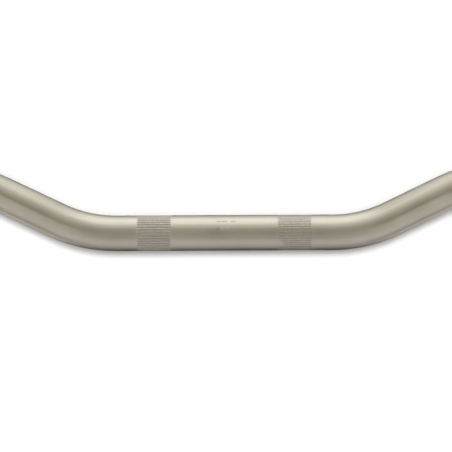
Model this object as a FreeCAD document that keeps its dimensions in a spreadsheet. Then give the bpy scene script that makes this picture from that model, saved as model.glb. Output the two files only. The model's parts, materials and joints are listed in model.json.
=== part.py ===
"""A bare tubular handlebar for a motorcycle: one bent tube and two threaded end inserts.

Frame, in millimetres: the origin is on the tube's axis in the middle of the clamp section.
+X runs along the clamp section to the rider's right, +Y is the way the bar rises, and +Z
is the side to which the grips sweep, so the bar lies on its clamp section with +Z up.
"""

import FreeCAD, Part
import math
import os
import Sketcher
from FreeCAD import Placement, Rotation, Vector

# alias, value, what it is
DIMENSIONS = [
    ("tube_diameter", 22.2, "outside of the tube, 7/8 inch"),
    ("bore_diameter", 14.2, "inside of the tube, for a 4 mm wall"),
    ("centre_half_length", 67.5, "middle of the bar to the start of the first bend"),
    ("bend_radius", 85.0, "radius of both bends, on the tube's axis"),
    ("rise_angle", 25.5, "turn of the first bend, in degrees"),
    ("leg_length", 35.5, "straight tube between the two bends"),
    ("grip_bend_angle", 29.0, "turn of the second bend, in degrees"),
    ("grip_bend_roll", 45.0, "roll of the second bend out of the plane of the first"),
    ("grip_length", 200.0, "straight tube for the grip and the controls"),
    ("end_chamfer", 0.8, "chamfer outside the tube's ends"),
    ("seat_diameter", 15.0, "bored-out seat of the end inserts"),
    ("seat_depth", 32.0, "depth of that seat from the tube's end"),
    ("clamp_spacing", 87.5, "centre to centre of the two knurled bands"),
    ("knurl_length", 20.8, "length of a knurled band"),
    ("knurl_count", 40, "grooves around a band"),
    ("knurl_width", 0.6, "width of a groove at the tube's surface"),
    ("knurl_depth", 0.3, "depth of a groove"),
    ("insert_length", 30.0, "length of an end insert"),
    ("insert_recess", 1.0, "end insert's face below the tube's end"),
    ("insert_chamfer", 0.8, "chamfer at both ends of an insert"),
    ("thread_drill", 6.8, "tapping drill of the insert's M8 thread"),
    ("mouth_diameter", 8.6, "countersink at the thread's mouth"),
]
OVERCUT = 0.2  # how far the knurl's cutter stands above the tube

doc = FreeCAD.newDocument("handlebar")
sheet = doc.addObject("Spreadsheet::Sheet", "Dimensions")
for row, (alias, value, meaning) in enumerate(DIMENSIONS, start=1):
    sheet.set(f"A{row}", meaning)
    sheet.set(f"B{row}", str(value))
    sheet.setAlias(f"B{row}", alias)
doc.recompute()


def size(alias):
    return float(sheet.get(alias))


def after_bend(angle, straight):
    """Expression for the far end of a bend, from the origin along +X to +Y, and a straight."""
    turn, run, radius = f"Dimensions.{angle}", f"Dimensions.{straight}", "Dimensions.bend_radius"
    along = f"{radius} * sin({turn}) + {run} * cos({turn})"
    across = f"{radius} * (1 - cos({turn})) + {run} * sin({turn})"
    return f"placement(vector({along}; {across}; 0); rotation({turn}; 0; 0))"


# expressions for places along the right half, each with +X along the tube and outwards
BEND_START = "placement(vector(Dimensions.centre_half_length; 0; 0); rotation(0; 0; 0))"
LEG_END = f"{BEND_START} * {after_bend('rise_angle', 'leg_length')}"
BEND_PLANE = f"{LEG_END} * placement(vector(0; 0; 0); rotation(0; 0; 180 - Dimensions.grip_bend_roll))"
TUBE_END = f"{BEND_PLANE} * {after_bend('grip_bend_angle', 'grip_length')}"
ACROSS = "placement(vector(0; 0; 0); rotation(0; 90; 0))"  # turns a sketch to face along the tube


def origin_feature(body, role):
    return next(f for f in body.Origin.OriginFeatures if f.Role == role)


def new_sketch(body, name, plane, offset=None):
    """A sketch on one of the body's origin planes, which an expression may move off it."""
    sketch = body.newObject("Sketcher::SketchObject", name)
    sketch.AttachmentSupport = [(origin_feature(body, plane), "")]
    sketch.MapMode = "FlatFace"
    if offset:
        sketch.setExpression("AttachmentOffset", offset)
    return sketch


def bind(sketch, expression, *constraint):
    """Add a dimension to the sketch and bind it to the sheet."""
    index = sketch.addConstraint(Sketcher.Constraint(*constraint))
    sketch.setExpression(f"Constraints[{index}]", expression)


def draw_circle(sketch, diameter):
    """A circle around the sketch's origin."""
    circle = sketch.addGeometry(Part.Circle(Vector(), Vector(0, 0, 1), size(diameter) / 2))
    sketch.addConstraint(Sketcher.Constraint("Coincident", circle, 3, -1, 1))
    bind(sketch, f"Dimensions.{diameter}", "Diameter", circle, size(diameter))


def draw_tube_section(sketch):
    draw_circle(sketch, "tube_diameter")
    draw_circle(sketch, "bore_diameter")


def draw_path(sketch, angle, last_length, first_length=None):
    """A bend from the origin along +X that turns to +Y, with straight tube after and before it."""
    radius, turn = size("bend_radius"), math.radians(size(angle))
    start = Vector(size(first_length), 0, 0) if first_length else Vector()
    centre = start + Vector(0, radius, 0)
    circle = Part.Circle(centre, Vector(0, 0, 1), radius)
    if first_length:
        first = sketch.addGeometry(Part.LineSegment(Vector(), start))
    arc = sketch.addGeometry(Part.ArcOfCircle(circle, -math.pi / 2, turn - math.pi / 2))
    bend_end = centre + Vector(math.sin(turn), -math.cos(turn), 0) * radius
    tip = bend_end + Vector(math.cos(turn), math.sin(turn), 0) * size(last_length)
    last = sketch.addGeometry(Part.LineSegment(bend_end, tip))
    sketch.addConstraint(Sketcher.Constraint("Tangent", arc, 2, last, 1))
    bind(sketch, "Dimensions.bend_radius", "Radius", arc, radius)
    bind(sketch, f"Dimensions.{angle} * 1deg", "Angle", -1, 1, last, 1, turn)
    bind(sketch, f"Dimensions.{last_length}", "Distance", last, 1, last, 2, size(last_length))
    if first_length:
        sketch.addConstraint(Sketcher.Constraint("Coincident", first, 1, -1, 1))
        sketch.addConstraint(Sketcher.Constraint("Horizontal", first))
        sketch.addConstraint(Sketcher.Constraint("Tangent", first, 2, arc, 1))
        bind(sketch, f"Dimensions.{first_length}", "Distance", first, 1, first, 2, start.x)
    else:
        sketch.addConstraint(Sketcher.Constraint("Coincident", arc, 1, -1, 1))
        sketch.addConstraint(Sketcher.Constraint("PointOnObject", arc, 3, -2))


def add_pipe(body, name, section, path):
    """Sweep the tube's section along every edge of the path."""
    pipe = body.newObject("PartDesign::AdditivePipe", name)
    pipe.Profile = section
    doc.recompute()
    pipe.Spine = (path, [f"Edge{i + 1}" for i in range(len(path.Shape.Edges))])
    doc.recompute()
    return pipe


def draw_groove(sketch):
    """A V-groove's section at the top of the tube, apex down, widened up past its surface."""
    radius, depth = size("tube_diameter") / 2, size("knurl_depth")
    half_top = size("knurl_width") / 2 * (depth + OVERCUT) / depth
    apex, top = radius - depth, radius + OVERCUT
    corners = [Vector(0, apex, 0), Vector(half_top, top, 0), Vector(-half_top, top, 0)]
    for i in range(3):
        sketch.addGeometry(Part.LineSegment(corners[i], corners[(i + 1) % 3]))
    for i in range(3):
        sketch.addConstraint(Sketcher.Constraint("Coincident", i, 2, (i + 1) % 3, 1))
    sketch.addConstraint(Sketcher.Constraint("PointOnObject", 0, 1, -2))
    sketch.addConstraint(Sketcher.Constraint("Symmetric", 1, 1, 1, 2, -2))
    surface = "Dimensions.tube_diameter / 2"
    bind(sketch, f"{surface} - Dimensions.knurl_depth", "DistanceY", -1, 1, 0, 1, apex)
    bind(sketch, f"{surface} + {OVERCUT}", "DistanceY", -1, 1, 1, 1, top)
    widened = f"(Dimensions.knurl_depth + {OVERCUT}) / Dimensions.knurl_depth"
    bind(sketch, f"Dimensions.knurl_width * {widened}", "DistanceX", 1, 2, 1, 1, 2 * half_top)


def cut_knurl(body, inner_end):
    """Pocket one groove from the band's inner end outwards, and repeat it around the tube."""
    at_inner_end = f"placement(vector(0; 0; {inner_end}); rotation(0; 0; 0))"
    sketch = new_sketch(body, "groove_section", "YZ_Plane", at_inner_end)
    draw_groove(sketch)
    groove = body.newObject("PartDesign::Pocket", "knurl_groove")
    groove.Profile = sketch
    groove.Reversed = True  # away from the middle of the bar
    groove.setExpression("Length", "Dimensions.knurl_length")
    doc.recompute()
    knurl = body.newObject("PartDesign::PolarPattern", "knurled_band")
    knurl.Originals = [groove]
    knurl.Axis = (origin_feature(body, "X_Axis"), [""])
    knurl.Angle = 360
    knurl.setExpression("Occurrences", "Dimensions.knurl_count")
    body.Tip = knurl
    doc.recompute()
    return knurl


def outer_end_edge(feature, end):
    """The name of the circle around the outside of the tube's end."""
    radius = size("tube_diameter") / 2
    for i, edge in enumerate(feature.Shape.Edges, start=1):
        round_edge = isinstance(edge.Curve, Part.Circle) and abs(edge.Curve.Radius - radius) < 1e-3
        if round_edge and (edge.Curve.Center - end).Length < 1e-3:
            return f"Edge{i}"
    raise RuntimeError("the tube's end edge is missing")


def expect_less(feature, before):
    """Stop if a feature that cuts took nothing away."""
    if feature.Shape.Volume >= before.Shape.Volume - 1e-3:
        raise RuntimeError(f"{feature.Name} cut nothing")


def make_tube():
    """Sweep, knurl and chamfer the bar's right half, then mirror it."""
    body = doc.addObject("PartDesign::Body", "bar_tube")
    section = new_sketch(body, "centre_section", "YZ_Plane")
    draw_tube_section(section)
    path = new_sketch(body, "centre_path", "XY_Plane")
    draw_path(path, "rise_angle", "leg_length", "centre_half_length")
    centre = add_pipe(body, "centre_and_leg", section, path)
    knurl = cut_knurl(body, "(Dimensions.clamp_spacing - Dimensions.knurl_length) / 2")
    expect_less(knurl, centre)

    section = new_sketch(body, "grip_section", "XY_Plane", f"{LEG_END} * {ACROSS}")
    draw_tube_section(section)
    path = new_sketch(body, "grip_path", "XY_Plane", BEND_PLANE)
    draw_path(path, "grip_bend_angle", "grip_length")
    grip = add_pipe(body, "bend_and_grip", section, path)

    seat_section = new_sketch(body, "seat_section", "XY_Plane", f"{TUBE_END} * {ACROSS}")
    draw_circle(seat_section, "seat_diameter")
    seat = body.newObject("PartDesign::Pocket", "insert_seat")
    seat.Profile = seat_section
    seat.setExpression("Length", "Dimensions.seat_depth")
    doc.recompute()
    expect_less(seat, grip)

    chamfer = body.newObject("PartDesign::Chamfer", "tube_end_chamfer")
    chamfer.Base = (seat, [outer_end_edge(seat, seat_section.Placement.Base)])
    chamfer.setExpression("Size", "Dimensions.end_chamfer")
    doc.recompute()
    expect_less(chamfer, seat)

    mirrored = body.newObject("PartDesign::Mirrored", "left_half")
    mirrored.TransformMode = "Whole shape"
    mirrored.MirrorPlane = (origin_feature(body, "YZ_Plane"), [""])
    body.Tip = mirrored
    doc.recompute()
    return body


def draw_blank(sketch):
    """Half the section of an insert's blank: a rectangle from the origin along -X."""
    length, radius = size("insert_length"), size("seat_diameter") / 2
    corners = [Vector(), Vector(0, radius, 0), Vector(-length, radius, 0), Vector(-length, 0, 0)]
    for i in range(4):
        sketch.addGeometry(Part.LineSegment(corners[i], corners[(i + 1) % 4]))
    for i in range(4):
        sketch.addConstraint(Sketcher.Constraint("Coincident", i, 2, (i + 1) % 4, 1))
        sketch.addConstraint(Sketcher.Constraint("Horizontal" if i % 2 else "Vertical", i))
    sketch.addConstraint(Sketcher.Constraint("Coincident", 0, 1, -1, 1))
    bind(sketch, "Dimensions.seat_diameter / 2", "Distance", 0, 1, 0, 2, radius)
    bind(sketch, "Dimensions.insert_length", "Distance", 1, 1, 1, 2, length)


def make_insert(name, face_centre, outwards):
    """A bush pressed into its seat, turned around +X with its outer face at the origin."""
    body = doc.addObject("PartDesign::Body", name)
    profile = new_sketch(body, f"{name}_profile", "XY_Plane")
    draw_blank(profile)
    blank = body.newObject("PartDesign::Revolution", f"{name}_blank")
    blank.Profile = profile
    blank.ReferenceAxis = (origin_feature(body, "X_Axis"), [""])
    blank.Angle = 360
    doc.recompute()

    ends = body.newObject("PartDesign::Chamfer", f"{name}_chamfers")
    circles = [isinstance(edge.Curve, Part.Circle) for edge in blank.Shape.Edges]
    ends.Base = (blank, [f"Edge{i}" for i, is_end in enumerate(circles, start=1) if is_end])
    ends.setExpression("Size", "Dimensions.insert_chamfer")
    doc.recompute()
    expect_less(ends, blank)

    drill = new_sketch(body, f"{name}_drill", "YZ_Plane")
    draw_circle(drill, "thread_drill")
    doc.recompute()
    thread = body.newObject("PartDesign::Hole", f"{name}_thread")
    thread.Profile = drill
    thread.Threaded = False
    thread.DepthType = "ThroughAll"
    thread.setExpression("Diameter", "Dimensions.thread_drill")
    thread.HoleCutType = "Countersink"
    thread.setExpression("HoleCutDiameter", "Dimensions.mouth_diameter")
    thread.HoleCutCountersinkAngle = 90
    doc.recompute()
    expect_less(thread, ends)
    body.Placement = Placement(face_centre, Rotation(Vector(1, 0, 0), outwards))
    return body


def check_document():
    """Every object has recomputed, and the tube holds its section times its length."""
    for item in doc.Objects:
        if "Invalid" in item.State or "Error" in item.State:
            raise RuntimeError(f"{item.Name} failed: {item.State}")
    for body in bodies:
        if body.Shape.isNull() or not body.Shape.isValid() or len(body.Shape.Solids) != 1:
            raise RuntimeError(f"{body.Label} isn't one valid solid")
    bends = math.radians(size("rise_angle") + size("grip_bend_angle")) * size("bend_radius")
    half_length = size("centre_half_length") + size("leg_length") + size("grip_length") + bends
    section = math.pi / 4 * (size("tube_diameter") ** 2 - size("bore_diameter") ** 2)
    share = bodies[0].Shape.Volume / (2 * half_length * section)
    print(f"tube length {2 * half_length:.1f} mm, volume over section times length {share:.4f}")
    if not 0.99 < share < 1:
        raise RuntimeError("the tube's volume is wrong")


def write_step(body):
    body.Shape.exportStep(f"parts/{body.Label}.step")
    box = body.Shape.BoundBox
    low, high = (box.XMin, box.YMin, box.ZMin), (box.XMax, box.YMax, box.ZMax)
    print(body.Label, [round(v, 2) for v in low], [round(v, 2) for v in high])


tube = make_tube()
end = doc.getObject("seat_section").Placement  # its +Z runs out of the tube
outwards = end.Rotation.multVec(Vector(0, 0, 1))
face = end.Base - outwards * size("insert_recess")
bodies = [
    tube,
    make_insert("end_insert_right", face, outwards),
    make_insert(
        "end_insert_left",
        Vector(-face.x, face.y, face.z),
        Vector(-outwards.x, outwards.y, outwards.z),
    ),
]
doc.recompute()
check_document()
os.makedirs("parts", exist_ok=True)
for body in bodies:
    write_step(body)
print("tube end", [round(v, 4) for v in end.Base], "direction", [round(v, 6) for v in outwards])
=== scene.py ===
"""Looks of a bare motorcycle handlebar: the anodised tube, its end inserts, and a plain studio.

Everything is in metres in the part's own frame: +X along the clamp section, +Y the way the
bar rises, +Z the side to which the grips sweep. The bar lies on the floor with +Z up.
"""

import json
import math
import random

import bpy
from mathutils import Matrix, Vector


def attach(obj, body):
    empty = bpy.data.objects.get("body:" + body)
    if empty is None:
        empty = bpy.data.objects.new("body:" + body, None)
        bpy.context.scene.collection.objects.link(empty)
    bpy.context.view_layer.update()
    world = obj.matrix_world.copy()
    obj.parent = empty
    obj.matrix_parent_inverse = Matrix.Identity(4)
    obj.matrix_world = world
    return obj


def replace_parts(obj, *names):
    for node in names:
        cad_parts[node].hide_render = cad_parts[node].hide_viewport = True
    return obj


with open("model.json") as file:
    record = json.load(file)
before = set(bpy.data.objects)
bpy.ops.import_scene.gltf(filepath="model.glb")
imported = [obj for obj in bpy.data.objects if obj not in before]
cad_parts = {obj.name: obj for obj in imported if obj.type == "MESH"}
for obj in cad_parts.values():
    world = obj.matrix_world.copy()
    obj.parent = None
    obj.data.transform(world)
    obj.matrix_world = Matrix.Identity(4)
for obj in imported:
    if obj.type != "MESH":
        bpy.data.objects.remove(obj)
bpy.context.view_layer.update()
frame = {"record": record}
MOUNTS = {mount["name"]: mount for mount in frame["record"]["mounts"]}
MM = 0.001

# the tube, as the part has it
TUBE_R = MOUNTS["clamp_section"]["dims"]["r_mm"] * MM
CENTRE_HALF = MOUNTS["clamp_section"]["dims"]["length_mm"] * MM / 2
BAND_CENTRE = MOUNTS["clamp_right"]["pos_m"][0]
BEND_R = 85 * MM
RISE_TURN = math.radians(25.5)
LEG = 35.5 * MM
GRIP_ROLL = math.radians(180 - 45)
GRIP_TURN = math.radians(29)
GRIP = 200 * MM
BORE_R = 7.1 * MM
SEAT_R = 7.5 * MM
SEAT_DEPTH = 32 * MM
END_CHAMFER = 0.8 * MM
MOUTH_CHAMFER = 0.25 * MM
BROKEN_EDGE_R = 0.12 * MM  # the chamfer's own two edges

# the knurled bands
BAND_LENGTH = 20.8 * MM
KNURL_COUNT = 40
KNURL_DEPTHS = {-1: 0.27 * MM, 1: 0.15 * MM}  # left and right: pressed less deep on the right
RIDGE_DULLNESS_AND_SHADE = 0.6  # how dull the ridges are and how much painted shade they get, where the bottom of a groove is 1
RUN_OUT = 0.9 * MM  # length over which a groove comes up to the surface
FADE = 3.0 * MM  # how much further in the grooves start where the knurling tool lifted off
# one pitch of the knurl, place across it and share of the groove's depth: the ridges are rounded,
# and their highest line is the tube's own surface
KNURL_SECTION = [
    (-0.36, 0.07),
    (-0.24, 0.27),
    (-0.13, 0.62),
    (-0.04, 0.97),
    (0.04, 0.97),
    (0.13, 0.62),
    (0.24, 0.27),
    (0.36, 0.07),
    (0.5, 0.0),
]
AROUND = KNURL_COUNT * len(KNURL_SECTION)
BORE_SHARE = 6  # the bore has one side for this many of the knurled outside
FINE_STEP = 0.32 * MM  # between the rings where the grooves run out
FINE_STEPS = 15
# degrees round the tube over which the late start of the right band's grooves comes and goes
FADE_IN, FADE_OUT = (100, 126), (132, 156)
UNEVEN = 0.25 * MM  # how much the grooves' ends differ
# rings along each stretch of the tube
BEND_RINGS, LEG_RINGS, GRIP_BEND_RINGS, GRIP_RINGS = 17, 4, 19, 10

# the end inserts, each in a frame with +X out of the tube and the outer face at the origin
INSERT_LENGTH = 30 * MM
INSERT_CHAMFER = 0.8 * MM
THREAD_R = MOUNTS["end_thread_right"]["dims"]["r_mm"] * MM
THREAD_DEPTH = 0.6 * MM
THREAD_PITCH = 1.25 * MM
THREAD_FLAT, THREAD_FLANK = 0.125, 0.625  # shares of the pitch
COUNTERSINK_R = 4.3 * MM
INSERT_AROUND = 48
ROWS_PER_PITCH = 10
FACING_SLANT = 0.7  # how the tool marks on the face go over into those along the bush
INSERT_CREASE = math.radians(40)

# the marks: places round the tube are from +Y towards +Z
MARK_STAND = 0.012 * MM
MARK_SINK = 0.03 * MM
MARK_STEPS = 6
UPPER_ANGLE, LOWER_ANGLE = math.radians(50), math.radians(78)
# place along the tube, place round it, and length of each dash
DASHES = [
    (-3.6 * MM, UPPER_ANGLE, 2.8 * MM),
    (0.0, UPPER_ANGLE, 3.4 * MM),
    (5.6 * MM, UPPER_ANGLE, 2.8 * MM),
    (-3.9 * MM, LOWER_ANGLE, 1.9 * MM),
]
DASH_HEIGHT = 0.9 * MM
TICK_ANGLE = math.radians(73)
TICKS_X = [-1.9 * MM, -0.6 * MM, 0.7 * MM, 2.0 * MM, 3.3 * MM]
TICK_WIDTH = 0.5 * MM
TICK_HEIGHT = 1.9 * MM

# colours
CHAMPAGNE_DARK = (0.595, 0.541, 0.439)
CHAMPAGNE_LIGHT = (0.675, 0.616, 0.506)
BARE_METAL = (0.80, 0.79, 0.77)
TURNED_BRIGHT, TURNED_DULL = (0.78, 0.78, 0.785), (0.70, 0.695, 0.685)
# painted shade in the knurl's grooves, with some dirt
GROOVE_SHADE_AND_DIRT = (0.22, 0.20, 0.165)
DARK_MARK_STRONG, DARK_MARK_FAINT = (0.37, 0.34, 0.28), (0.46, 0.42, 0.35)
PALE_MARK_STRONG, PALE_MARK_FAINT = (0.76, 0.71, 0.61), (0.68, 0.63, 0.53)
ANISOTROPY = 0.6
# noise of the materials, in features to the metre
BLAST_GRAIN = 5200
DRAWN_STREAKS = 1300
STREAK_LENGTHS = (1, 1, 0.02)  # across, across and along the tube
PATCHES = 42
EDGE_WEAR = 900
TOOL_MARKS = 9000
TOOL_MARK_LENGTHS = (1, 0.00002, 0)  # across the marks, round the axis, and unused
DULL_SPOTS = 420
MARK_WEAR = 2600
MARK_GRAIN = 6000

# the studio
STAGE_R = 20.0
WORLD_COLOUR = (0.005, 0.005, 0.005)
WHITE = (0.9, 0.9, 0.9)
BACKDROP_LIGHT = 1.3
# a light tent along the bar, mirrored in it: rows of panels side by side, the first row at this
# angle from the zenith towards +Y. A row has a panel over the middle and one over each half, and
# the tent is closed by a panel beyond each end of the bar
TENT_START = -155
TENT_STEP = 25
TENT_ROWS = 13
TENT_R = 1.2
MIDDLE_LENGTH = 0.8
# the middle panels towards +Y share an even light, and two soft glows lie across the rows: angle
# of the brightest line, how far to each side the glow reaches, and watts
MIDDLE_FILL = 0.55
MIDDLE_GLOWS = [(-72, 80, 0.85), (84, 65, 1.95)]
SIDE_LENGTH = 1.1
# watts of a side panel towards -Y, in the row over the bar, and towards +Y
SIDE_LOW, SIDE_OVER, SIDE_HIGH = 1.4, 2.3, 0.8
HORIZON = 100  # the row nearest this angle, to either side, has side panels half as strong
END_X = 1.6
END_SIZE = 1.6
END_WATTS = 3.0
OVERHEAD = 25  # rows this near the zenith have a colour of their own
WARM_WHITE = (1.0, 0.965, 0.88)
COOL_WHITE = (0.93, 0.97, 1.0)
ROSE_WHITE = (0.96, 0.965, 1.0)
# suns that light the table and draw the bar's shadow: angle from the zenith towards +Y, angle
# that the sun spans, and strength
TABLE_SUNS = {"table_key": (14, 20, 1.84), "table_fill": (0, 80, 1.96)}
CAMERA_HEIGHT = 2.0
CAMERA_LENS = 255.4
CAMERA_X = 1.1 * MM
CAMERA_Y = 4.25 * MM
CAMERA_ROLL = math.radians(-0.27)


# ------------------------------------------------------------------ meshes


USUAL_CREASE = math.radians(32)


def new_piece(name, vertices, faces, materials, crease=USUAL_CREASE):
    """A smooth-shaded mesh object whose edges stay sharp where the faces turn by the crease."""
    mesh = bpy.data.meshes.new(name)
    mesh.from_pydata(vertices, [], faces)
    mesh.validate()
    mesh.shade_smooth()
    mesh.set_sharp_from_angle(angle=crease)
    for material in materials:
        mesh.materials.append(material)
    piece = bpy.data.objects.new(name, mesh)
    bpy.context.scene.collection.objects.link(piece)
    return piece


class Skin:
    """Vertices and faces gathered ring by ring, with what the material needs at each vertex."""

    def __init__(self):
        self.vertices, self.faces = [], []
        self.values = {}

    def ring(self, points, **values):
        """Add a ring with its values, one for each vertex, and return the vertices' indices."""
        first = len(self.vertices)
        self.vertices += points
        for name, value in values.items():
            each = value if isinstance(value, list) else [value] * len(points)
            self.values.setdefault(name, []).extend(each)
        return list(range(first, first + len(points)))

    def join(self, a, b):
        """Quads from ring a to ring b, which has as many vertices."""
        count = len(a)
        for i in range(count):
            j = (i + 1) % count
            self.faces.append((a[i], a[j], b[j], b[i]))

    def join_all(self, rings):
        for a, b in zip(rings, rings[1:]):
            self.join(a, b)

    def end_face(self, outer, inner, side):
        """Flat faces that look out of the tube, from a ring to a smaller one inside it."""
        share, count = len(outer) // len(inner), len(inner)
        for i in range(count):
            arc = [outer[(i * share + k) % len(outer)] for k in range(share + 1)]
            face = [*arc, inner[(i + 1) % count], inner[i]]
            self.faces.append(face[::side])

    def piece(self, name, material, crease=USUAL_CREASE):
        """The object, with each value as an attribute of its mesh, for the material to read."""
        made = new_piece(name, self.vertices, self.faces, [material], crease)
        for key, values in self.values.items():
            vector = isinstance(values[0], tuple)
            kind, field = ("FLOAT_VECTOR", "vector") if vector else ("FLOAT", "value")
            attribute = made.data.attributes.new(key, kind, "POINT")
            for item, value in zip(attribute.data, values):
                setattr(item, field, value)
        return made


# ---------------------------------------------------------- the tube's line


def bent(place, turn):
    """Follow a bend to local +Y through this angle."""
    centre = Matrix.Translation((0, BEND_R, 0))
    return place @ centre @ Matrix.Rotation(turn, 4, "Z") @ centre.inverted()


def line_beyond_centre():
    """Places from the first bend to the right end: local +X along the tube, roll, distance."""
    place, roll, distance = Matrix.Translation((CENTRE_HALF, 0, 0)), 0.0, CENTRE_HALF
    parts = [("bend", RISE_TURN, BEND_RINGS), ("run", LEG, LEG_RINGS), ("roll", GRIP_ROLL, 1)]
    parts += [("bend", GRIP_TURN, GRIP_BEND_RINGS), ("run", GRIP, GRIP_RINGS)]
    line = []
    for kind, amount, steps in parts:
        step = amount / steps
        for _ in range(steps):
            if kind == "bend":
                place, distance = bent(place, step), distance + BEND_R * step
            elif kind == "run":
                place, distance = place @ Matrix.Translation((step, 0, 0)), distance + step
            else:
                place, roll = place @ Matrix.Rotation(step, 4, "X"), roll + step
                continue
            line.append((place, roll, distance))
    return line


LINE = line_beyond_centre()
TUBE_END, END_ROLL, HALF_LENGTH = LINE.pop()


def near_end(inset):
    """The place on the grip's axis this far in from the tube's right end."""
    return TUBE_END @ Matrix.Translation((-inset, 0, 0)), END_ROLL, HALF_LENGTH - inset


def centre_line(stations):
    return [(Matrix.Translation((x, 0, 0)), 0.0, x) for x in stations]


def band_stations():
    """Ring places along the right half of the clamp section, close together at a band's ends."""
    reach = (BAND_LENGTH + RUN_OUT) / 2
    inner, outer = BAND_CENTRE - reach, BAND_CENTRE + reach
    run = FINE_STEP * FINE_STEPS
    middle = 2 * (reach - run)
    stations = [inner * i / 4 for i in (1, 2, 3)]
    stations += [inner + FINE_STEP * i for i in range(FINE_STEPS + 1)]
    stations += [inner + run + middle * i / 4 for i in (1, 2, 3)]
    stations += [outer - FINE_STEP * i for i in range(FINE_STEPS, -1, -1)]
    stations += [outer + (CENTRE_HALF - outer) * i / 2 for i in (1, 2)]
    return stations


def add_circle(skin, station, side, radii, angles, edge=0.0, knurled=0.0):
    """Add a ring round the line here, in the right half or, with side -1, mirrored."""
    place, roll, distance = station
    points, along = [], []
    for radius, angle in zip(radii, angles):
        local = Vector((0, radius * math.cos(angle - roll), radius * math.sin(angle - roll)))
        point = place @ local
        points.append((side * point.x, point.y, point.z))
        along.append((radius * math.cos(angle), radius * math.sin(angle), side * distance))
    axis = place.to_3x3().col[0]
    drawn = (side * axis.x, axis.y, axis.z)
    return skin.ring(points, along=along, drawn=drawn, edge=edge, knurled=knurled)


# ---------------------------------------------------------------- the knurl


def smooth(low, high, value):
    share = min(max((value - low) / (high - low), 0.0), 1.0)
    return share * share * (3 - 2 * share)


def groove_ends(side, rng):
    """Where each groove of a band starts and ends along the tube, measured from the middle."""
    inner, outer = BAND_CENTRE - BAND_LENGTH / 2, BAND_CENTRE + BAND_LENGTH / 2
    ends = []
    for groove in range(KNURL_COUNT):
        angle = 360 * groove / KNURL_COUNT
        late = smooth(*FADE_IN, angle) * (1 - smooth(*FADE_OUT, angle)) if side > 0 else 0.0
        start = inner + FADE * late + rng.uniform(0, UNEVEN)
        ends.append((start, outer - rng.uniform(0, UNEVEN)))
    return ends


def knurl_ring(x, ends, depth):
    """Radius, edge wear, and dullness with painted shade, round a ring at this distance from the
    middle.
    """
    radii, edge, knurled = [], [], []
    for start, end in ends:
        cut = smooth(-RUN_OUT / 2, RUN_OUT / 2, x - start)
        cut *= smooth(-RUN_OUT / 2, RUN_OUT / 2, end - x)
        for place, share in KNURL_SECTION:
            radii.append(TUBE_R - cut * share * depth)
            edge.append(cut * (1 - share) ** 4)
            # the knurl's dullness and painted shade: full in the grooves, less on the ridges
            knurled.append(cut * (RIDGE_DULLNESS_AND_SHADE + (1 - RIDGE_DULLNESS_AND_SHADE) * share))
    return radii, edge, knurled


PITCH = 2 * math.pi / KNURL_COUNT
OUTSIDE_ANGLES = [
    (groove + place) * PITCH for groove in range(KNURL_COUNT) for place, _ in KNURL_SECTION
]
INSIDE_ANGLES = OUTSIDE_ANGLES[::BORE_SHARE]


# ----------------------------------------------------------------- the tube


def chamfer_profile():
    """Inset from the tube's end, drop in radius and wear, over the chamfer and its broken edges."""
    reach = END_CHAMFER + BROKEN_EDGE_R * math.tan(math.radians(45 / 2))
    arc = []
    for turn_deg, wear in [(0, 0.0), (15, 0.7), (30, 1.0), (45, 0.7)]:
        turn = math.radians(turn_deg)
        drop = BROKEN_EDGE_R * (1 - math.cos(turn))
        arc.append((reach - BROKEN_EDGE_R * math.sin(turn), drop, wear))
    inset, drop, _ = arc[-1]
    clear = 0.15 * END_CHAMFER  # the wear ends this far from the edge
    arc.append((inset - clear, drop + clear, 0.2))
    return arc + [(drop, inset, wear) for inset, drop, wear in arc[::-1]]


def half_outside(skin, side, rng):
    """Rings of the outside from the middle to the face of the tube's end."""
    rings = []
    ends = groove_ends(side, rng)
    for station in centre_line(band_stations()):
        radii, edge, knurled = knurl_ring(station[2], ends, KNURL_DEPTHS[side])
        rings.append(add_circle(skin, station, side, radii, OUTSIDE_ANGLES, edge, knurled))
    for station in LINE:
        rings.append(add_circle(skin, station, side, [TUBE_R] * AROUND, OUTSIDE_ANGLES))
    for inset, drop, edge in chamfer_profile():
        radii = [TUBE_R - drop] * AROUND
        rings.append(add_circle(skin, near_end(inset), side, radii, OUTSIDE_ANGLES, edge))
    return rings


def half_inside(skin, side):
    """Rings of the inside from the face of the tube's end to the middle."""
    profile = [(0, SEAT_R + MOUTH_CHAMFER), (MOUTH_CHAMFER, SEAT_R)]
    profile += [(SEAT_DEPTH * i / 4, SEAT_R) for i in (1, 2, 3, 4)] + [(SEAT_DEPTH, BORE_R)]
    places = [(near_end(inset), radius) for inset, radius in profile]
    beyond_seat = [station for station in LINE if station[2] < HALF_LENGTH - SEAT_DEPTH]
    centre = centre_line([CENTRE_HALF * i / 3 for i in (3, 2, 1)])
    places += [(station, BORE_R) for station in beyond_seat[::-1] + centre]
    rings = []
    for station, radius in places:
        radii = [radius] * len(INSIDE_ANGLES)
        rings.append(add_circle(skin, station, side, radii, INSIDE_ANGLES))
    return rings


def make_tube(material):
    skin, rng = Skin(), random.Random(11)
    right, left = half_outside(skin, 1, rng), half_outside(skin, -1, rng)
    bore_right, bore_left = half_inside(skin, 1), half_inside(skin, -1)
    skin.join_all(left[::-1] + right)
    skin.join_all(bore_right + bore_left[::-1])
    skin.end_face(right[-1], bore_right[0], 1)
    skin.end_face(left[-1], bore_left[0], -1)
    return skin.piece("handlebar_tube", material)


# -------------------------------------------------------------- the inserts


def thread_radius(x, angle):
    """Radius of the tapped hole, x from the outer face: a right-hand thread and its countersink."""
    phase = (x / THREAD_PITCH - angle / (2 * math.pi)) % 1
    crest = min(max((abs(2 * phase - 1) - THREAD_FLAT) / THREAD_FLANK, 0.0), 1.0)
    return max(THREAD_R + THREAD_DEPTH * (1 - crest), COUNTERSINK_R + x)


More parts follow.
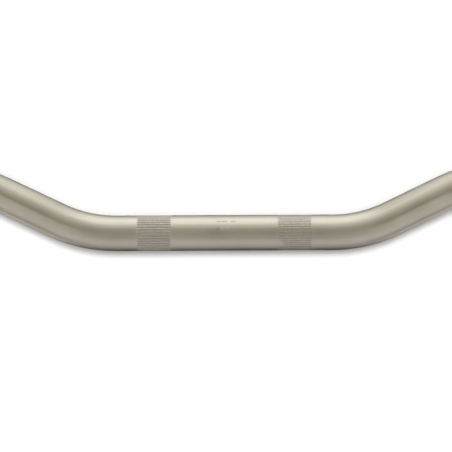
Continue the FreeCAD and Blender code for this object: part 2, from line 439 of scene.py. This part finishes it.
def make_insert(name, mount, material):
    """A turned bush round the thread's mount, with +X of its own frame out of the tube."""
    axis = Vector(mount["axis"])
    face = Vector(mount["pos_m"]) + axis * INSERT_LENGTH / 2
    place = Matrix.Translation(face) @ axis.to_track_quat("X", "Z").to_matrix().to_4x4()
    rows = round(INSERT_LENGTH / THREAD_PITCH * ROWS_PER_PITCH)
    angles = [2 * math.pi * i / INSERT_AROUND for i in range(INSERT_AROUND)]
    sections = []
    for row in range(rows + 1):
        x = -INSERT_LENGTH * row / rows
        sections.append((x, [thread_radius(x, angle) for angle in angles]))
    end_r = SEAT_R - INSERT_CHAMFER
    outline = [(-INSERT_LENGTH, end_r), (INSERT_CHAMFER - INSERT_LENGTH, SEAT_R)]
    outline += [(-INSERT_CHAMFER, SEAT_R), (0, end_r)]
    sections += [(x, [radius] * len(angles)) for x, radius in outline]
    skin = Skin()
    rings = []
    for x, radii in sections:
        points, turned = [], []
        for radius, angle in zip(radii, angles):
            local = Vector((x, radius * math.cos(angle), radius * math.sin(angle)))
            points.append(tuple(place @ local))
            turned.append((radius + FACING_SLANT * x, angle, 0.0))
        rings.append(skin.ring(points, turned=turned))
    skin.join_all([*rings, rings[0]])
    return skin.piece(name, material, INSERT_CREASE)


# ------------------------------------------------------------ centre marks


def add_mark(vertices, faces, x, angle, length, height):
    """A thin curved plate on the tube, centred here, this long along it and this high round it."""
    first = len(vertices)
    for step in range(MARK_STEPS + 1):
        turn = angle + (step / MARK_STEPS - 0.5) * height / TUBE_R
        for radius in (TUBE_R - MARK_SINK, TUBE_R + MARK_STAND):
            for end in (x - length / 2, x + length / 2):
                vertices.append((end, radius * math.cos(turn), radius * math.sin(turn)))
    corners = [(0, 1), (1, 3), (3, 2), (2, 0)]
    for step in range(MARK_STEPS):
        base = first + 4 * step
        faces += [(base + a, base + b, base + 4 + b, base + 4 + a) for a, b in corners]
    last = first + 4 * MARK_STEPS
    faces += [(first, first + 2, first + 3, first + 1), (last, last + 1, last + 3, last + 2)]


def make_dashes(material):
    """Short dark dashes in two rows in the middle of the bar, a generic alignment mark."""
    vertices, faces = [], []
    for x, angle, length in DASHES:
        add_mark(vertices, faces, x, angle, length, DASH_HEIGHT)
    return new_piece("centre_dashes", vertices, faces, [material])


def make_ticks(material):
    """Pale ticks beside the lower dash."""
    vertices, faces = [], []
    for x in TICKS_X:
        add_mark(vertices, faces, x, TICK_ANGLE, TICK_WIDTH, TICK_HEIGHT)
    return new_piece("centre_ticks", vertices, faces, [material])


# --------------------------------------------------------------- materials


class Nodes:
    """Builds a material's node tree: each call adds a node and sets or links its inputs."""

    def __init__(self, name):
        self.material = bpy.data.materials.new(name)
        self.material.use_nodes = True
        self.tree = self.material.node_tree
        self.shader = self.tree.nodes["Principled BSDF"]

    def feed(self, socket, value):
        if isinstance(value, bpy.types.NodeSocket):
            self.tree.links.new(value, socket)
        else:
            socket.default_value = value

    def add(self, kind, inputs, output=0, **settings):
        node = self.tree.nodes.new(kind)
        for key, value in settings.items():
            setattr(node, key, value)
        for key, value in inputs.items():
            self.feed(node.inputs[key], value)
        return node.outputs[output]

    def attribute(self, name, output):
        return self.add("ShaderNodeAttribute", {}, output, attribute_name=name)

    def noise(self, vector, scale, detail=2.0, roughness=0.5):
        inputs = {"Vector": vector, "Scale": scale, "Detail": detail, "Roughness": roughness}
        return self.add("ShaderNodeTexNoise", inputs)

    def stretched(self, vector, scale):
        return self.add("ShaderNodeVectorMath", {0: vector, 1: scale}, operation="MULTIPLY")

    def math(self, operation, a, b):
        return self.add("ShaderNodeMath", {0: a, 1: b}, operation=operation)

    def ramp(self, value, low, high, to_low=0.0, to_high=1.0):
        """Map low..high smoothly to to_low..to_high."""
        inputs = {"Value": value, "From Min": low, "From Max": high}
        inputs |= {"To Min": to_low, "To Max": to_high}
        return self.add("ShaderNodeMapRange", inputs, interpolation_type="SMOOTHSTEP")

    def mix(self, share, a, b):
        """Mix two colours, each a tuple or a socket."""
        node = self.tree.nodes.new("ShaderNodeMix")
        node.data_type = "RGBA"
        for socket, value in ((0, share), (6, a), (7, b)):
            self.feed(node.inputs[socket], (*value, 1) if isinstance(value, tuple) else value)
        return node.outputs[2]

    def bump(self, height, distance, normal=None):
        inputs = {"Height": height, "Distance": distance, "Strength": 1.0}
        if normal:
            inputs["Normal"] = normal
        return self.add("ShaderNodeBump", inputs)

    def finish(self, **inputs):
        for key, value in inputs.items():
            self.feed(self.shader.inputs[key.replace("_", " ")], value)
        return self.material


def anodised_aluminium():
    """Bead blasted and anodised in pale champagne: satin, with drawn streaks just under it."""
    n = Nodes("anodised_champagne")
    along = n.attribute("along", 1)
    blast = n.noise(along, BLAST_GRAIN, 2, 0.6)
    streaks = n.noise(n.stretched(along, STREAK_LENGTHS), DRAWN_STREAKS, 3, 0.6)
    patches = n.noise(along, PATCHES, 3, 0.55)
    spots = n.ramp(n.noise(along, EDGE_WEAR, 3), 0.42, 0.62)
    worn = n.math("MULTIPLY", n.attribute("edge", 2), spots)
    colour = n.mix(n.ramp(patches, 0.3, 0.7), CHAMPAGNE_DARK, CHAMPAGNE_LIGHT)
    colour = n.mix(n.ramp(streaks, 0.35, 0.65, 0, 0.5), colour, CHAMPAGNE_LIGHT)
    colour = n.mix(n.ramp(blast, 0.35, 0.65, 0, 0.4), colour, CHAMPAGNE_DARK)
    colour = n.mix(n.math("MULTIPLY", worn, 0.7), colour, BARE_METAL)
    # the knurl darkened towards the groove colour: painted shade in its grooves, with some dirt,
    # and less on the ridges
    knurled = n.attribute("knurled", 2)
    colour = n.mix(n.math("MULTIPLY", knurled, 0.3), colour, GROOVE_SHADE_AND_DIRT)
    rough = n.ramp(patches, 0.3, 0.7, 0.375, 0.405)
    rough = n.math("ADD", rough, n.ramp(blast, 0.3, 0.7, -0.02, 0.02))
    rough = n.math("SUBTRACT", rough, n.math("MULTIPLY", worn, 0.1))
    rough = n.math("ADD", rough, n.math("MULTIPLY", knurled, 0.16))
    drawn = n.bump(streaks, 0.010 * MM)
    blasted = n.bump(blast, 0.009 * MM, drawn)
    n.shader.inputs["Metallic"].default_value = 1.0
    n.shader.inputs["Anisotropic"].default_value = ANISOTROPY
    drawn_along = n.attribute("drawn", 1)
    return n.finish(Base_Color=colour, Roughness=rough, Normal=blasted, Tangent=drawn_along)


def bare_aluminium():
    """Turned and left bare: fine tool marks round the axis, dulled here and there."""
    n = Nodes("turned_aluminium")
    turned = n.attribute("turned", 1)
    marks = n.noise(n.stretched(turned, TOOL_MARK_LENGTHS), TOOL_MARKS, 2, 0.7)
    position = n.add("ShaderNodeNewGeometry", {}, "Position")
    dull = n.ramp(n.noise(position, DULL_SPOTS, 3, 0.6), 0.35, 0.7)
    colour = n.mix(dull, TURNED_BRIGHT, TURNED_DULL)
    rough = n.ramp(dull, 0.0, 1.0, 0.30, 0.36)
    rough = n.math("ADD", rough, n.ramp(marks, 0.3, 0.7, -0.04, 0.04))
    n.shader.inputs["Metallic"].default_value = 1.0
    return n.finish(Base_Color=colour, Roughness=rough, Normal=n.bump(marks, 0.01 * MM))


def etched_mark(name, faint, strong):
    """A laser-etched mark, uneven as if worn, between these two colours."""
    n = Nodes(name)
    position = n.add("ShaderNodeNewGeometry", {}, "Position")
    wear = n.ramp(n.noise(position, MARK_WEAR, 3, 0.6), 0.35, 0.65)
    colour = n.mix(wear, strong, faint)
    rough = n.ramp(wear, 0.0, 1.0, 0.46, 0.40)
    grain = n.noise(position, MARK_GRAIN, 2, 0.6)
    n.shader.inputs["Metallic"].default_value = 1.0
    return n.finish(Base_Color=colour, Roughness=rough, Normal=n.bump(grain, 0.006 * MM))


def plain_white(name, light):
    """Matt white, or a white that shines by itself."""
    n = Nodes(name)
    n.shader.inputs["Roughness"].default_value = 1.0
    n.shader.inputs["Specular IOR Level"].default_value = 0.0
    colour = (*WHITE, 1)
    if light:
        n.shader.inputs["Emission Strength"].default_value = light
        return n.finish(Base_Color=(0, 0, 0, 1), Emission_Color=colour)
    return n.finish(Base_Color=colour)


# ------------------------------------------------------------------ studio


def make_floor():
    """A white table under the bar. Only its own shade is seen, never its mirror image."""
    side = STAGE_R
    corners = [(-side, -side), (side, -side), (side, side), (-side, side)]
    vertices = [(x, y, -TUBE_R) for x, y in corners]
    floor = new_piece("floor", vertices, [(0, 1, 2, 3)], [plain_white("floor_white", 0)])
    floor.visible_glossy = False
    floor.visible_shadow = False
    return floor


def make_backdrop():
    """A white dome far beyond the floor."""
    bpy.ops.mesh.primitive_uv_sphere_add(segments=48, ring_count=24, radius=STAGE_R)
    dome = bpy.context.object
    dome.name = "backdrop"
    dome.data.materials.append(plain_white("backdrop_white", BACKDROP_LIGHT))
    dome.visible_diffuse = dome.visible_glossy = dome.visible_shadow = False
    return dome


def add_light(name, data, location, rotation):
    light = bpy.data.objects.new(name, data)
    bpy.context.scene.collection.objects.link(light)
    light.location, light.rotation_euler = location, rotation
    light.visible_camera = False
    return light


def add_panel(name, location, rotation, length, width, watts, colour):
    """A panel of the tent. Only the bar mirrors it."""
    data = bpy.data.lights.new(name, "AREA")
    data.shape = "RECTANGLE"
    data.size, data.size_y = length, width
    data.energy = watts
    data.color = colour
    add_light(name, data, location, rotation).visible_diffuse = False


def add_sun(name, angle, spread, strength):
    """A soft sun at this angle from the zenith towards +Y. Only the table shows it."""
    data = bpy.data.lights.new(name, "SUN")
    data.angle = math.radians(spread)
    data.energy = strength
    add_light(name, data, (0, 0, TENT_R), (-math.radians(angle), 0, 0)).visible_glossy = False


def tent_colours(angle):
    """Colours of the middle panel and of the side panels in the row at this angle."""
    if angle <= -OVERHEAD:
        return ROSE_WHITE, ROSE_WHITE
    return (WARM_WHITE if angle < OVERHEAD else COOL_WHITE), WARM_WHITE


def middle_watts(angle):
    """Strength of the middle panel in the row at this angle: the even light and the glows."""
    watts = MIDDLE_FILL if angle > 0 else 0.0
    for brightest, reach, peak in MIDDLE_GLOWS:
        away = min(abs(angle - brightest) / reach, 1.0)
        watts += peak * math.cos(away * math.pi / 2) ** 2
    return watts


def side_watts(angle):
    """Strength of the two side panels in the row at this angle."""
    if abs(angle) < TENT_STEP / 2:
        return SIDE_OVER
    watts = SIDE_LOW if angle < 0 else SIDE_HIGH
    return watts / 2 if abs(abs(angle) - HORIZON) < TENT_STEP / 2 else watts


def add_tent():
    """The rows of panels round the bar, and the panel beyond each of its ends."""
    width = TENT_R * math.radians(TENT_STEP)
    side_x = (MIDDLE_LENGTH + SIDE_LENGTH) / 2
    for row in range(TENT_ROWS):
        angle = TENT_START + TENT_STEP * row
        turn, middle, side = math.radians(angle), middle_watts(angle), side_watts(angle)
        y, z, facing = TENT_R * math.sin(turn), TENT_R * math.cos(turn), (-turn, 0, 0)
        name, (middle_colour, side_colour) = f"tent_{row}", tent_colours(angle)
        add_panel(name, (0, y, z), facing, MIDDLE_LENGTH, width, middle, middle_colour)
        for x in (side_x, -side_x):
            add_panel(name, (x, y, z), facing, SIDE_LENGTH, width, side, side_colour)
    for x in (END_X, -END_X):
        facing = (0, math.copysign(math.pi / 2, x), 0)
        add_panel("tent_end", (x, 0, 0), facing, END_SIZE, END_SIZE, END_WATTS, COOL_WHITE)


def light_studio():
    world = bpy.data.worlds.new("studio")
    world.use_nodes = True
    world.node_tree.nodes["Background"].inputs[0].default_value = (*WORLD_COLOUR, 1)
    bpy.context.scene.world = world
    add_tent()
    for name, settings in TABLE_SUNS.items():
        add_sun(name, *settings)
    bpy.context.scene.view_settings.view_transform = "Standard"


def add_camera():
    """Straight above the bar, far off, with +Y up in the picture."""
    data = bpy.data.cameras.new("camera")
    data.sensor_width, data.lens = 36, CAMERA_LENS
    data.clip_start, data.clip_end = 0.1, 50
    camera = bpy.data.objects.new("camera", data)
    bpy.context.scene.collection.objects.link(camera)
    camera.location = (CAMERA_X, CAMERA_Y, CAMERA_HEIGHT)
    camera.rotation_euler = (0, 0, CAMERA_ROLL)
    bpy.context.scene.camera = camera


# --------------------------------------------------------------- the scene

light_studio()
add_camera()
make_floor()
make_backdrop()

anodised, bare = anodised_aluminium(), bare_aluminium()
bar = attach(make_tube(anodised), "root")
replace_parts(bar, "bar_tube")
dark_mark = etched_mark("dark_mark", DARK_MARK_FAINT, DARK_MARK_STRONG)
pale_mark = etched_mark("pale_mark", PALE_MARK_FAINT, PALE_MARK_STRONG)
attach(make_dashes(dark_mark), "root")
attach(make_ticks(pale_mark), "root")
for side_name in ("left", "right"):
    node = f"end_insert_{side_name}"
    insert = make_insert(f"threaded_{node}", MOUNTS[f"end_thread_{side_name}"], bare)
    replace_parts(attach(insert, "root"), node)
